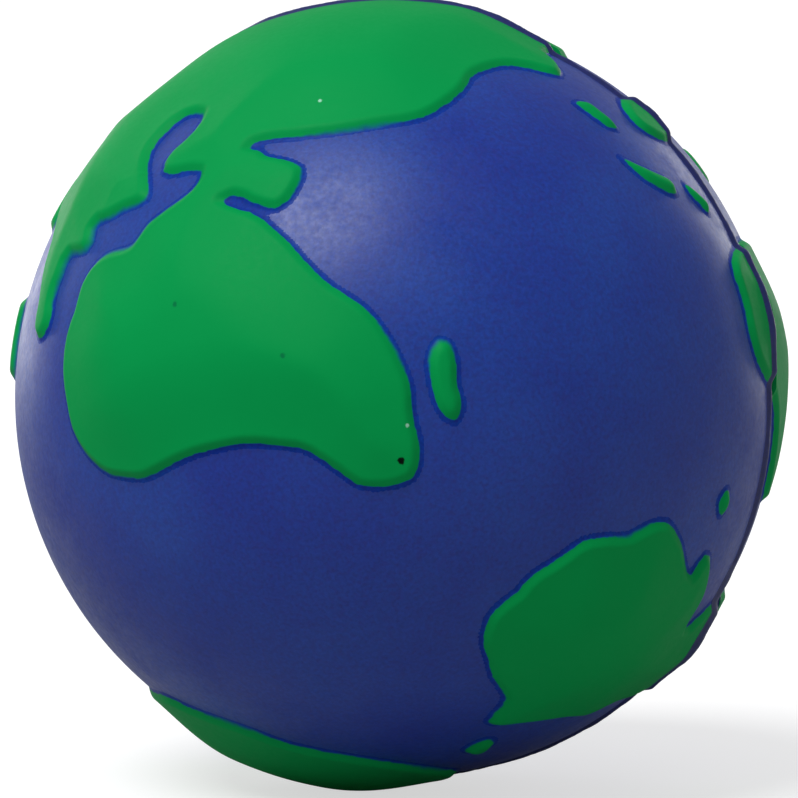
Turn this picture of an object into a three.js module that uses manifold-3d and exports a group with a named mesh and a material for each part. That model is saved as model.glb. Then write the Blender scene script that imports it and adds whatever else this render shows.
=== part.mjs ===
// Globe stress ball: a soft foam ball with raised lands, moulded in two halves.
//
// Frame: millimetres, +Z up, origin at the centre of the ball.
// The mould parts on the plane y = 0. The front half of the ball is the half on the -Y side.
// The map is drawn in the ball's own degrees of latitude and longitude, and the whole globe is
// then turned by three angles, to lie in the mould and on the table as a ball that was put down.

import * as THREE from 'three';
import Module from 'manifold-3d';
import { mergeVertices } from 'three/addons/utils/BufferGeometryUtils.js';

// ---------------------------------------------------------------- driving dimensions
const OCEAN_RADIUS = 33.5;    // the smooth blue ball
const LAND_HEIGHT = 1.5;      // how far the lands stand proud of it
const SKIN_THICKNESS = 1.0;   // the dense skin over the soft foam
const BEAD_WIDTH = 1.2;       // the weld line where the two halves of the mould met
const BEAD_HEIGHT = 0.25;     // how far the weld line stands proud of the ball
const CLEARANCE = 0.3;        // between any two pieces that touch
const SMALLEST_SHARE = 0.04;  // a land ends at the weld line if less of it than this lies beyond

// How the globe lies: spun about its poles, its north pole leant over, and turned to a bearing.
const GLOBE_SPIN = 78.5;
const POLE_LEAN = 47.5;
const POLE_BEARING = 161;

// Fineness of the facets.
const OCEAN_DETAIL = 9;       // splits of an icosahedron's edge, less one
const CORE_DETAIL = 5;
const COAST_STEP = 2;         // degrees between two points along a coast
const BEAD_SEGMENTS = 120;

// ---------------------------------------------------------------- derived sizes
const LAND_RADIUS = OCEAN_RADIUS + LAND_HEIGHT;
const SKIN_INNER_RADIUS = OCEAN_RADIUS - SKIN_THICKNESS;
const WEDGE_RADIUS = 1.35 * LAND_RADIUS;      // cutters reach well past the lands
const LONGEST_CAP_EDGE = 24;                  // degrees, so that a cutter's cap clears the lands

// ---------------------------------------------------------------- finishes
const OCEAN_BLUE = '#28369a';
const WELD_BLUE = '#232f86';
const LAND_GREEN = '#009a4e';
const FOAM_CREAM = '#e8dfc0';
const PAINT_ROUGHNESS = 0.42;
const LAND_ROUGHNESS = 0.5;
const FOAM_ROUGHNESS = 0.95;

// ---------------------------------------------------------------- the map
// Each coast is a closed round of [latitude, longitude] points, joined by a smooth curve.
const LANDS = [
  { name: 'afro_eurasia', coast: [
    // East and west coasts of Africa, from the head of the Red Sea round the Cape.
    [21.5, 38.5], [18.5, 39.5], [15.5, 41], [13, 41.5], [7.5, 42], [4, 42], [-1.5, 42.5], [-7, 44],
    [-11.5, 44], [-16.5, 43], [-20.5, 41.5], [-23.5, 39], [-27, 37], [-30, 33], [-29.5, 30.5],
    [-28, 28], [-25.5, 25.5], [-22.5, 25], [-19.5, 24.5], [-16, 23.5], [-13.5, 21.5], [-10, 18.5],
    [-7, 14.5], [-4.5, 10.5], [-2.5, 6], [-0.5, 1.5], [2, -1], [5, -3.5], [10, -5], [14.5, -5],
    [18, -3.5], [22, -1.5], [25, 1], [27.5, 4.5],
    // The south shore of the Mediterranean, then the Black Sea and the north shore.
    [28.5, 7], [31, 10.5], [31.5, 15.5], [30, 19], [28, 21.5], [27.5, 23], [28.5, 26.5], [28, 30],
    [27, 36], [28, 39], [29, 39.5], [31, 38], [32.5, 36], [34, 34.5], [36, 34.5], [37.5, 37],
    [37.5, 40], [38, 43.5], [40, 47], [42.5, 46], [44, 43], [43, 35.5], [40, 32.5], [35.5, 30.5],
    [33, 29], [35.5, 24.5], [37, 21], [39, 17], [36.5, 15.5], [36, 13.5], [39.5, 8.5], [38, 6],
    [36, 2], [32.5, -1],
    // The Atlantic and Arctic coasts of Europe and Siberia.
    [32.5, -5.5], [35.5, -6.5], [38, -4], [44, -1], [47.5, 1.5], [53, 2], [57, 1], [60, 4],
    [62, 12], [66, 16], [70, 24], [70, 36], [67, 44], [70, 56], [73, 70], [75, 88], [76, 105],
    [73, 125], [72, 145], [69, 165], [68, -178], [65, -174],
    // The Pacific coast, down to the Gulf of Siam and the tip of Malaya.
    [61, 175], [58, 163], [51, 157], [58, 152], [58, 143], [53, 140], [44, 135], [37, 131],
    [38, 127], [34, 126], [29, 123], [24, 119], [19, 116], [17.5, 112], [18.5, 110], [17.5, 105],
    [14.5, 104], [11.5, 101], [12, 99], [14, 96.5],
    // Bengal, the south of Asia, the Gulf and Arabia.
    [16, 92], [16, 84.5], [14.5, 81.5], [13.5, 79], [12.5, 72.5], [13, 69.5], [15.5, 64.5],
    [18, 60], [22, 54.5], [25.5, 50.5], [27, 47], [24, 48.5], [22.5, 48.5], [20, 50], [16.5, 51],
    [14, 47.5], [13.5, 44.5], [14.5, 43.5], [17.5, 42], [20.5, 41],
  ] },
  { name: 'great_britain', coast: [
    [58, -6], [61, -2], [64, 5], [68, 2], [66, -8], [61, -14],
  ] },
  { name: 'ireland', coast: [
    [40, -28], [45, -25], [50, -22], [52, -27], [47, -33], [41, -34],
  ] },
  { name: 'iceland', coast: [[64, -22], [66, -18], [69, -20], [68, -28], [65, -28]] },
  { name: 'madagascar', coast: [
    [-17.5, 49.5], [-18.5, 50.5], [-21.5, 49.5], [-24, 47.5], [-27, 46], [-28, 43.5], [-25.5, 43],
    [-21, 45], [-18.5, 47],
  ] },
  { name: 'sumatra', coast: [
    [5, 96.5], [5, 99], [2.5, 100], [-1, 101], [0, 98.5], [3.5, 97],
  ] },
  { name: 'java', coast: [
    [-6, 96], [-7.5, 98], [-9.5, 101.5], [-11, 104.5], [-13, 105], [-13.5, 103.5], [-11.5, 99.5],
    [-9.5, 97.5],
  ] },
  { name: 'timor', coast: [
    [-11.5, 109], [-13.5, 112], [-15, 113.5], [-16.5, 112.5], [-15, 110.5], [-13, 109],
  ] },
  { name: 'borneo', coast: [
    [5.5, 110.5], [5, 114.5], [1, 115], [-3, 114.5], [-3, 111], [-1, 107.5], [1.5, 107], [4, 108.5],
  ] },
  { name: 'australia', coast: [
    [-22, 117.5], [-25, 113.5], [-31, 114.5], [-35, 115], [-39, 118], [-41, 123.5], [-43, 132],
    [-47, 138], [-55, 146], [-53, 152], [-45, 156], [-36, 156], [-27, 154], [-19, 150], [-16, 144],
    [-20, 140], [-17, 134], [-18, 128], [-20, 122],
  ] },
  { name: 'antarctica', coast: [
    // The coast in view, from the south of Africa's side round to the bay and its lobe.
    [-55, 17], [-54, 21], [-54, 26], [-54.5, 30], [-54, 35], [-54.5, 39.5], [-55, 45], [-55, 50],
    [-57.5, 58.5], [-59, 62], [-59.5, 71.5], [-60.5, 78], [-65, 85], [-72, 98], [-69, 103],
    [-68.5, 108], [-72, 118], [-75, 126], [-79, 132],
    // The far side, then back along the edge that faces South America.
    [-80, 145], [-75, 153], [-67, 165], [-63, 178], [-64, -165], [-71, -148], [-80, -125],
    [-83, -85], [-80, -60], [-77, -37], [-70.5, -26], [-65, -22], [-66, -11], [-66, -6.5],
    [-64.5, -2], [-61.5, 3.5], [-58.5, 10], [-56, 14],
  ] },
  { name: 'kerguelen_islet', coast: [
    [-58.5, 108], [-60, 109.5], [-62, 109], [-62.5, 107], [-61.5, 105], [-60, 104], [-59, 105.5],
  ] },
  { name: 'south_georgia_islet', coast: [
    [-62, -41], [-63.5, -37], [-65.5, -35], [-66.5, -39], [-65, -45], [-63, -45],
  ] },
  { name: 'south_america', coast: [
    [10, -70], [3, -67], [-4, -61], [-10.5, -50], [-15, -43], [-20, -40.5], [-25, -38.5],
    [-30, -37.5], [-35, -38.5], [-40, -39], [-45, -40], [-50, -43], [-54, -48], [-57, -57],
    [-58, -64], [-54, -72], [-47, -79], [-40, -84], [-30, -83], [-20, -81], [-10, -86], [-2, -88],
    [5, -83], [10, -76],
  ] },
  { name: 'north_america', coast: [
    [66, -168], [70, -155], [70, -135], [68, -118], [67, -100], [60, -94], [57, -88], [53, -81],
    [58, -77], [61, -72], [57, -63], [52, -57], [47, -62], [44, -68], [38, -74], [32, -80],
    [25, -80], [30, -86], [29, -94], [23, -97], [20, -94], [21, -88], [16, -88], [13, -83],
    [9, -79], [10, -85], [15, -94], [20, -105], [27, -112], [34, -119], [42, -124], [50, -128],
    [58, -138], [59, -151], [56, -161],
  ] },
  { name: 'greenland', coast: [
    [52, -48], [59, -43], [67, -36], [76, -24], [82, -32], [81, -57], [75, -64], [68, -56],
    [58, -53],
  ] },
  { name: 'baffin_island', coast: [
    [64, -67], [70, -70], [74, -82], [70, -87], [65, -77],
  ] },
  { name: 'victoria_island', coast: [
    [73, -118], [76, -105], [80, -92], [77, -90], [74, -100], [72, -110],
  ] },
  { name: 'cuba', coast: [[22.5, -84], [23, -80], [20.5, -74], [19, -75.5], [20.5, -80]] },
  { name: 'hispaniola', coast: [[20, -71.5], [18.5, -67], [16.5, -69.5], [17.5, -73]] },
  { name: 'japan', coast: [
    [44, 143], [43, 148], [38, 145], [34, 140], [31, 134], [34, 133], [38, 138], [41, 141],
  ] },
  { name: 'philippines', coast: [
    [17, 137], [13, 141], [7, 144], [4, 142], [8, 138], [13, 135],
  ] },
  { name: 'sulawesi', coast: [[3, 135], [1, 138], [-4, 139], [-5, 136], [0, 133]] },
  { name: 'new_guinea', coast: [
    [-2, 143], [-3, 149], [-6, 155], [-10, 161], [-12, 157], [-11, 152], [-9, 147], [-5, 142],
  ] },
  { name: 'new_zealand_north', coast: [[-34, 172], [-37, 178], [-41, 177], [-40, 173]] },
  { name: 'new_zealand_south', coast: [
    [-42, 173], [-45, 172], [-48, 168], [-46, 166], [-43, 170],
  ] },
  { name: 'hawaii', coast: [[22, -158], [21, -154], [18, -153.5], [19, -157]] },
];

// ---------------------------------------------------------------- solids
const wasm = await Module();
wasm.setup();

// A closed three.js geometry as a solid that can be cut and joined.
function solidFrom(geometry) {
  const bare = geometry.index ? geometry : geometry.clone();
  bare.deleteAttribute('normal');
  bare.deleteAttribute('uv');
  const merged = mergeVertices(bare, 1e-4);
  const corners = merged.index.array;
  const faces = [];
  for (let i = 0; i < corners.length; i += 3) {
    const [a, b, c] = [corners[i], corners[i + 1], corners[i + 2]];
    if (a !== b && b !== c && c !== a) faces.push(a, b, c);
  }
  return new wasm.Manifold(new wasm.Mesh({
    numProp: 3,
    vertProperties: new Float32Array(merged.attributes.position.array),
    triVerts: new Uint32Array(faces),
  }));
}

function geometryFrom(solid) {
  const mesh = solid.getMesh();
  const geometry = new THREE.BufferGeometry();
  geometry.setAttribute('position', new THREE.BufferAttribute(mesh.vertProperties.slice(), 3));
  geometry.setIndex(new THREE.BufferAttribute(mesh.triVerts.slice(), 1));
  geometry.computeVertexNormals();
  return geometry;
}

// A ball of near-equal triangles. Balls of one fineness have parallel facets.
function ball(radius, detail) {
  return solidFrom(new THREE.IcosahedronGeometry(radius, detail));
}

// All space on one side of the parting plane, from a distance off it.
function halfSpace(side, distance) {
  const size = 4 * WEDGE_RADIUS;
  const block = new THREE.BoxGeometry(size, size, size);
  block.translate(0, side * (size / 2 + distance), 0);
  return solidFrom(block);
}

// ---------------------------------------------------------------- the globe's lie
const radians = THREE.MathUtils.degToRad;
const globeTurn = new THREE.Matrix4()
  .makeRotationZ(radians(POLE_BEARING))
  .multiply(new THREE.Matrix4().makeRotationY(radians(POLE_LEAN)))
  .multiply(new THREE.Matrix4().makeRotationZ(radians(GLOBE_SPIN)));

// The direction, from the centre of the ball, of a place on the map.
function placeOnBall([latitude, longitude]) {
  const direction = new THREE.Vector3().setFromSphericalCoords(
    1, radians(90 - latitude), radians(longitude));
  // three.js measures longitude from +Z about +Y; the map measures it from +X about +Z.
  return new THREE.Vector3(direction.z, direction.x, direction.y).applyMatrix4(globeTurn);
}

// ---------------------------------------------------------------- lands
// The smooth coast as directions about COAST_STEP degrees apart.
function coastDirections(coast) {
  const curve = new THREE.CatmullRomCurve3(coast.map(placeOnBall), true, 'centripetal');
  const steps = Math.max(16, Math.round(curve.getLength() / radians(COAST_STEP)));
  return curve.getSpacedPoints(steps).slice(0, steps).map((point) => point.normalize());
}

// Splits a triangle of directions until no edge is longer than LONGEST_CAP_EDGE.
function splitCap(a, b, c, out) {
  const [ab, bc, ca] = [a.angleTo(b), b.angleTo(c), c.angleTo(a)];
  const longest = Math.max(ab, bc, ca);
  if (longest <= radians(LONGEST_CAP_EDGE)) {
    out.push(a, b, c);
    return;
  }
  // Turn the triangle so that its longest edge comes first.
  const [p, q, r] = longest === ab ? [a, b, c] : longest === bc ? [b, c, a] : [c, a, b];
  const middle = p.clone().add(q).normalize();
  splitCap(p, middle, r, out);
  splitCap(middle, q, r, out);
}

// A wedge from the centre of the ball out past the surface, with the coast as its rim.
function landWedge(coast) {
  const rim = coastDirections(coast);
  const middle = rim.reduce((sum, point) => sum.add(point), new THREE.Vector3()).normalize();
  const across = new THREE.Vector3().crossVectors(new THREE.Vector3(0, 0, 1), middle).normalize();
  const along = new THREE.Vector3().crossVectors(middle, across);
  // Seen from the centre, great circles are straight lines, so the rim becomes a flat outline.
  let flat = rim.map((point) => new THREE.Vector2(
    point.dot(across) / point.dot(middle), point.dot(along) / point.dot(middle)));
  if (THREE.ShapeUtils.isClockWise(flat)) {
    rim.reverse();
    flat = flat.reverse();
  }
  const points = [];
  for (const [i, j, k] of THREE.ShapeUtils.triangulateShape(flat, [])) {
    splitCap(rim[i], rim[j], rim[k], points);
  }
  for (let i = 0; i < rim.length; i += 1) {
    points.push(rim[(i + 1) % rim.length], rim[i], new THREE.Vector3());
  }
  const geometry = new THREE.BufferGeometry().setFromPoints(
    points.map((point) => point.clone().multiplyScalar(WEDGE_RADIUS)));
  return solidFrom(geometry);
}

// ---------------------------------------------------------------- the model
const stressBall = new THREE.Group();
stressBall.name = 'globe_stress_ball';

function addPiece(name, solid, colour, roughness) {
  const material = new THREE.MeshStandardMaterial({ color: colour, roughness, metalness: 0 });
  const mesh = new THREE.Mesh(geometryFrom(solid), material);
  mesh.name = name;
  stressBall.add(mesh);
}

// Adds a land's bodies; where a half holds more than one of them, the others get a number.
function addBodies(name, bodies) {
  bodies.forEach((body, i) => {
    addPiece(i === 0 ? name : `${name}_${i + 1}`, body, LAND_GREEN, LAND_ROUGHNESS);
  });
}

const seamHalf = BEAD_WIDTH / 2 + CLEARANCE;
const halfSpaces = { front: halfSpace(-1, seamHalf), back: halfSpace(1, seamHalf) };
const oceanBall = ball(OCEAN_RADIUS, OCEAN_DETAIL);
const hollow = ball(SKIN_INNER_RADIUS, CORE_DETAIL);

// The foam inside, and the skin of the two halves round it.
addPiece('foam_core', ball(SKIN_INNER_RADIUS - CLEARANCE, CORE_DETAIL), FOAM_CREAM, FOAM_ROUGHNESS);
const skin = oceanBall.subtract(hollow);
addPiece('skin_front', skin.intersect(halfSpaces.front), OCEAN_BLUE, PAINT_ROUGHNESS);
addPiece('skin_back', skin.intersect(halfSpaces.back), OCEAN_BLUE, PAINT_ROUGHNESS);

// The lands, as thin curved pads that follow the ball.
const landShell = ball(LAND_RADIUS, OCEAN_DETAIL)
  .subtract(ball(OCEAN_RADIUS + CLEARANCE, OCEAN_DETAIL));
const crossings = [];
for (const land of LANDS) {
  const wedge = landWedge(land.coast);
  const pad = landShell.intersect(wedge);
  const smallest = SMALLEST_SHARE * pad.volume();
  const inHalf = (half) => pad.intersect(halfSpaces[half]).decompose()
    .filter((body) => body.volume() > smallest);
  const front = inHalf('front');
  const back = inHalf('back');
  if (front.length > 0 && back.length > 0) {
    addBodies(`${land.name}_front`, front);
    addBodies(`${land.name}_back`, back);
    crossings.push(wedge);
  } else {
    addBodies(land.name, [...front, ...back]);
  }
}

// The weld line: a ring between the two skins, low over the sea and up to the land's height
// wherever a land crosses it.
function beadRing() {
  const half = BEAD_WIDTH / 2;
  const crest = OCEAN_RADIUS + BEAD_HEIGHT;
  const profile = [
    [SKIN_INNER_RADIUS, -half], [OCEAN_RADIUS, -half], [crest, -half / 2], [crest, half / 2],
    [OCEAN_RADIUS, half], [SKIN_INNER_RADIUS, half], [SKIN_INNER_RADIUS, -half],
  ].map(([radius, offset]) => new THREE.Vector2(radius, offset));
  return solidFrom(new THREE.LatheGeometry(profile, BEAD_SEGMENTS));
}
const seamSlab = solidFrom(new THREE.BoxGeometry(4 * LAND_RADIUS, BEAD_WIDTH, 4 * LAND_RADIUS));
const landBridge = ball(LAND_RADIUS, OCEAN_DETAIL)
  .subtract(ball(OCEAN_RADIUS - SKIN_THICKNESS / 2, OCEAN_DETAIL))
  .intersect(seamSlab);
let bead = beadRing();
for (const wedge of crossings) {
  bead = bead.add(landBridge.intersect(wedge));
}
addPiece('weld_bead', bead, WELD_BLUE, PAINT_ROUGHNESS);

export default stressBall;
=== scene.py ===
# %% [markdown]
# # A foam stress ball moulded as a globe
#
# The real ball is one piece of soft polyurethane foam. The foam is poured into a
# mould of two halves, and where it touches the cold metal its bubbles collapse,
# so it grows its own tight skin. The lands are cut into the mould as shallow
# pockets, and they come out as low raised pads. The whole ball is then sprayed
# blue, and green is laid over the lands.
#
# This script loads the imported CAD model, which fixes every size and place. It
# then makes one finished piece for each CAD node: two halves of the sea, every
# land, the weld line where the mould closed, and the foam inside.

# %% The frame, and the size of the CAD model
import bpy, math
from mathutils import Matrix, Vector


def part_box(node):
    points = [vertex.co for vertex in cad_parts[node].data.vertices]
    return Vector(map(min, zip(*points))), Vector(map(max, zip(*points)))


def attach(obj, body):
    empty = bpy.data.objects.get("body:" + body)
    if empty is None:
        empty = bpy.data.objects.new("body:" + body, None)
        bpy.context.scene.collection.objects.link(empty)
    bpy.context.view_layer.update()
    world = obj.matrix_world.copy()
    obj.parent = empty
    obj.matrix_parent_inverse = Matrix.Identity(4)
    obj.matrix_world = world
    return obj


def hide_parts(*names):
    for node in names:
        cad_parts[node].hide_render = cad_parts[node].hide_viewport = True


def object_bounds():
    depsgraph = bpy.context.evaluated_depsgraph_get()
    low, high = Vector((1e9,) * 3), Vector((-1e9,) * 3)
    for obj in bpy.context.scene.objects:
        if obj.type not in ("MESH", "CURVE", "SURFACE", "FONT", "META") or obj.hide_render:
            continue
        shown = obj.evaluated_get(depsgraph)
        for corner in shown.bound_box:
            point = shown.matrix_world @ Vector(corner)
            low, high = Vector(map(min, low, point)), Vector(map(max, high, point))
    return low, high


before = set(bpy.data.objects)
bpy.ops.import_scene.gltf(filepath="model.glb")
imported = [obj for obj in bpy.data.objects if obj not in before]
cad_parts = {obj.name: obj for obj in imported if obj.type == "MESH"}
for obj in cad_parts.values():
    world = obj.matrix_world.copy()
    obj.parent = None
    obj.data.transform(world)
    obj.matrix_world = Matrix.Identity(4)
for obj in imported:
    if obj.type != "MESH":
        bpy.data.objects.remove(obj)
cad_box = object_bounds()
MM = 0.001
SEA_RADIUS = -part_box("skin_front")[0][1]
LAND_RADIUS = -cad_box[0][2]
SKIN_WALL = 1.0 * MM
RELIEF = LAND_RADIUS - SEA_RADIUS
RIPPLE_DEPTH = 0.03 * MM
RAY_START = LAND_RADIUS + 2 * MM   # rays that look for a surface start out here
ONE_POINT = 0.005 * MM             # points closer than this are one point
print(f"sea {SEA_RADIUS / MM:.2f} mm, lands {LAND_RADIUS / MM:.2f} mm, relief {RELIEF / MM:.2f} mm")

# %% [markdown]
# ## Two small helpers
#
# A node tree is only nodes and links. One function adds a node, sets its
# properties and fills its sockets, for shapes and paints alike. A second one
# starts a new tree with named inputs, so that each size can be read, and
# changed, on the modifier or on the group that uses it.

# %% Adding a node, starting a tree
def add(tree, kind, inputs=None, **settings):
    """Adds a node. An input is given by name or number. It is a value, a socket, or a node, whose
    first output it takes."""
    made = tree.nodes.new(kind)
    for key, value in settings.items():
        setattr(made, key, value)
    for key, value in (inputs or {}).items():
        named = [s for s in made.inputs if s.enabled and s.name == key]
        socket = named[0] if named else made.inputs[key]
        if isinstance(value, bpy.types.Node):
            value = next(s for s in value.outputs if s.enabled)
        if isinstance(value, bpy.types.NodeSocket):
            tree.links.new(value, socket)
        else:
            socket.default_value = value
    return made


def start_tree(name, kind, inputs, outputs):
    """Starts a tree. Inputs are (name, socket type, value) and outputs (name, socket type). Gives the
    tree and its two ends."""
    tree = bpy.data.node_groups.new(name, kind)
    for label, socket, value in inputs:
        made = tree.interface.new_socket(label, in_out="INPUT", socket_type="NodeSocket" + socket)
        if value is not None:
            made.default_value = value
    for label, socket in outputs:
        tree.interface.new_socket(label, in_out="OUTPUT", socket_type="NodeSocket" + socket)
    given = add(tree, "NodeGroupInput").outputs
    result = add(tree, "NodeGroupOutput").inputs
    return tree, given, result


SHAPE, PAINT = "GeometryNodeTree", "ShaderNodeTree"

# %% [markdown]
# ## A ball with even cells
#
# Every visible surface here is a ball with a height above it, so all of them
# start from the same net. A ball of latitude and longitude rings bunches up at
# its poles. A finely divided cube blown up into a ball doesn't, and if the cell
# corners are first spread by equal angles, the cells stay nearly square. With
# an even number of cells to a side, one of its grid lines falls exactly on the
# plane where the mould closes.

# %% The even ball
even_ball, given, result = start_tree(
    "even ball", SHAPE, [("Cells", "Int", 32), ("Radius", "Float", SEA_RADIUS)], [("Mesh", "Geometry")])
corners = add(even_ball, "ShaderNodeMath", {0: given["Cells"], 1: 1.0}, operation="ADD")
box = add(even_ball, "GeometryNodeMeshCube",
          {"Vertices X": corners, "Vertices Y": corners, "Vertices Z": corners})
quarter_turns = add(even_ball, "ShaderNodeVectorMath",
                    {0: add(even_ball, "GeometryNodeInputPosition"), "Scale": math.pi / 2},
                    operation="SCALE")
spread = add(even_ball, "ShaderNodeVectorMath", {0: quarter_turns}, operation="TANGENT")
outward = add(even_ball, "ShaderNodeVectorMath", {0: spread}, operation="NORMALIZE")
blown = add(even_ball, "ShaderNodeVectorMath", {0: outward, "Scale": given["Radius"]},
            operation="SCALE")
ball = add(even_ball, "GeometryNodeSetPosition", {"Geometry": box, "Position": blown})
even_ball.links.new(ball.outputs[0], result["Mesh"])
print("tree:", even_ball.name, len(even_ball.nodes), "nodes")

# %% [markdown]
# ## Ripple of the moulding
#
# Foam shrinks a little as it cures, so no part of the ball is truly round. The
# light glides over shallow dips a few millimetres wide. The ripple is a noise
# read at the point on the sea's sphere, so a land and the sea round its foot
# rise and fall together.

# %% The ripple, as a height
ripple, given, result = start_tree("moulding ripple", SHAPE, [("Depth", "Float", RIPPLE_DEPTH)],
                                   [("Height", "Float")])
noise = add(ripple, "ShaderNodeTexNoise",
            {"Vector": add(ripple, "GeometryNodeInputPosition"), "Scale": 1 / (9 * MM),
             "Detail": 2.0, "Roughness": 0.55})
centred = add(ripple, "ShaderNodeMapRange", {"Value": noise, "To Min": -1.0, "To Max": 1.0})
height = add(ripple, "ShaderNodeMath", {0: centred, 1: given["Depth"]}, operation="MULTIPLY")
ripple.links.new(height.outputs[0], result["Height"])

# %% [markdown]
# ## From a patch to a closed shell
#
# A patch of the ball has no thickness. The patch is pulled inwards to the inner
# radius, extruded so that it gets a rim, and its new top is set to the sea's
# radius plus the height kept in the attribute "rise". A turned-over copy closes
# the bottom. Top and rim meet in a sharp edge, so only the top is shaded smooth.

# %% The closed shell
shell, given, result = start_tree(
    "closed shell", SHAPE,
    [("Patch", "Geometry", None), ("Inner radius", "Float", SEA_RADIUS - SKIN_WALL)],
    [("Mesh", "Geometry")])
outward = add(shell, "ShaderNodeVectorMath", {0: add(shell, "GeometryNodeInputPosition")},
              operation="NORMALIZE")
inner = add(shell, "ShaderNodeVectorMath", {0: outward, "Scale": given["Inner radius"]},
            operation="SCALE")
floor_patch = add(shell, "GeometryNodeSetPosition", {"Geometry": given["Patch"], "Position": inner})
grown = add(shell, "GeometryNodeExtrudeMesh",
            {"Mesh": floor_patch, "Offset Scale": 0.0, "Individual": False}, mode="FACES")
rise = add(shell, "GeometryNodeInputNamedAttribute", {"Name": "rise"}, data_type="FLOAT")
radius = add(shell, "ShaderNodeMath", {0: rise, 1: SEA_RADIUS}, operation="ADD")
outer = add(shell, "ShaderNodeVectorMath", {0: outward, "Scale": radius}, operation="SCALE")
walled = add(shell, "GeometryNodeSetPosition",
             {"Geometry": grown.outputs["Mesh"], "Selection": grown.outputs["Top"], "Position": outer})
smooth = add(shell, "GeometryNodeSetShadeSmooth",
             {"Geometry": walled, "Selection": grown.outputs["Top"], "Shade Smooth": True})
flat = add(shell, "GeometryNodeSetShadeSmooth",
           {"Geometry": smooth, "Selection": grown.outputs["Side"], "Shade Smooth": False})
turned = add(shell, "GeometryNodeFlipFaces", {"Mesh": floor_patch})
joined = add(shell, "GeometryNodeJoinGeometry")
for part in (turned, flat):
    shell.links.new(part.outputs[0], joined.inputs[0])
sealed = add(shell, "GeometryNodeMergeByDistance", {"Geometry": joined, "Distance": ONE_POINT})
shell.links.new(sealed.outputs[0], result["Mesh"])

# %% [markdown]
# ## Growing a piece
#
# A piece starts as an empty mesh with the tree as its modifier. Its inputs are
# set before it is first evaluated, then the result is kept as a plain mesh and
# the modifier goes. What is left is an ordinary mesh with its place in its
# points, which is what the frame asks for.

# %% Growing a piece, and counting what it has
finished = bpy.data.collections.new("finished surfaces")
bpy.context.scene.collection.children.link(finished)


def grow(name, tree, where=finished, **inputs):
    """Makes a plain mesh object from a tree. An input's name is its socket's, with _ for each space."""
    piece = bpy.data.objects.new(name, bpy.data.meshes.new(name))
    where.objects.link(piece)
    shaping = piece.modifiers.new("shaping", "NODES")
    shaping.node_group = tree
    for item in tree.interface.items_tree:
        key = item.name.replace(" ", "_")
        if item.item_type == "SOCKET" and item.in_out == "INPUT" and key in inputs:
            shaping[item.identifier] = inputs[key]
    graph = bpy.context.evaluated_depsgraph_get()
    plain = bpy.data.meshes.new_from_object(piece.evaluated_get(graph), preserve_all_data_layers=True,
                                            depsgraph=graph)
    piece.modifiers.clear()
    blank, piece.data = piece.data, plain
    bpy.data.meshes.remove(blank)
    plain.name = name
    triangles = sum(len(f.vertices) - 2 for f in plain.polygons)
    print(f"{name}: {triangles} triangles")
    return piece


# %% [markdown]
# ## Colours
#
# Paint colours are written as sRGB hex values, as a paint maker would give
# them. The renderer works with linear light, so one function turns them over.

# %% Hex to linear
def linear(hex_colour):
    """An sRGB hex colour as linear light, with full alpha."""
    channels = [int(hex_colour[i:i + 2], 16) / 255 for i in (1, 3, 5)]
    return [c / 12.92 if c <= 0.04045 else ((c + 0.055) / 1.055) ** 2.4 for c in channels] + [1.0]


# %% [markdown]
# ## Sea paint
#
# Foam toys are painted with a flexible polyurethane paint that stretches with
# the skin. It is sprayed, and dries satin with a faint orange peel. The real
# peel and the specks of pigment are finer than can be seen from the camera, so
# they are drawn coarser, 0.3 to 0.55 mm across. The blue drifts a little with
# the thickness of the coat, a violet pigment has settled out in
# specks, and the gloss is patchy, because the skin under it is patchy. The same
# paint is on the sea, on the flanks of the lands and on the weld line, so it is
# one group that all three materials use.

# %% The blue paint, as a group
PAINT_IOR = 1.5
ORANGE_PEEL = {"Scale": 1 / (0.55 * MM), "Detail": 2.0, "Roughness": 0.6}
blue_paint, given, result = start_tree(
    "flexible blue paint", PAINT, [("Thin coat", "Color", linear("#15409f")),
                                   ("Full coat", "Color", linear("#103296")),
                                   ("Violet pigment", "Color", linear("#241f7c"))],
    [("Color", "Color"), ("Roughness", "Float"), ("Height", "Float")])
place = add(blue_paint, "ShaderNodeTexCoord").outputs["Object"]
coat = add(blue_paint, "ShaderNodeTexNoise", {"Vector": place, "Scale": 1 / (14 * MM), "Detail": 3.0})
coat_share = add(blue_paint, "ShaderNodeMapRange", {"Value": coat, "From Min": 0.35, "From Max": 0.65})
blue = add(blue_paint, "ShaderNodeMix", {"Factor": coat_share, "A": given["Full coat"],
                                         "B": given["Thin coat"]}, data_type="RGBA")
pigment = add(blue_paint, "ShaderNodeTexNoise",
              {"Vector": place, "Scale": 1 / (0.3 * MM), "Detail": 2.0})
pigment_share = add(blue_paint, "ShaderNodeMapRange",
                    {"Value": pigment, "From Min": 0.3, "From Max": 0.7, "To Min": 0.84,
                     "To Max": 1.16})
speckled = add(blue_paint, "ShaderNodeVectorMath", {0: blue.outputs[2], "Scale": pigment_share},
               operation="SCALE")
settled = add(blue_paint, "ShaderNodeTexNoise",
              {"Vector": place, "Scale": 1 / (0.45 * MM), "Detail": 1.0})
violet_share = add(blue_paint, "ShaderNodeMapRange",
                   {"Value": settled, "From Min": 0.45, "From Max": 0.7, "To Max": 0.3})
toned = add(blue_paint, "ShaderNodeMix", {"Factor": violet_share, "A": speckled,
                                          "B": given["Violet pigment"]}, data_type="RGBA")
peel = add(blue_paint, "ShaderNodeTexNoise", {"Vector": place, **ORANGE_PEEL})
patches = add(blue_paint, "ShaderNodeTexNoise",
              {"Vector": place, "Scale": 1 / (6 * MM), "Detail": 4.0, "Roughness": 0.65,
               "Distortion": 0.6})
patch_gloss = add(blue_paint, "ShaderNodeMapRange",
                  {"Value": patches, "From Min": 0.35, "From Max": 0.65, "To Min": 0.37,
                   "To Max": 0.48})
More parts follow.
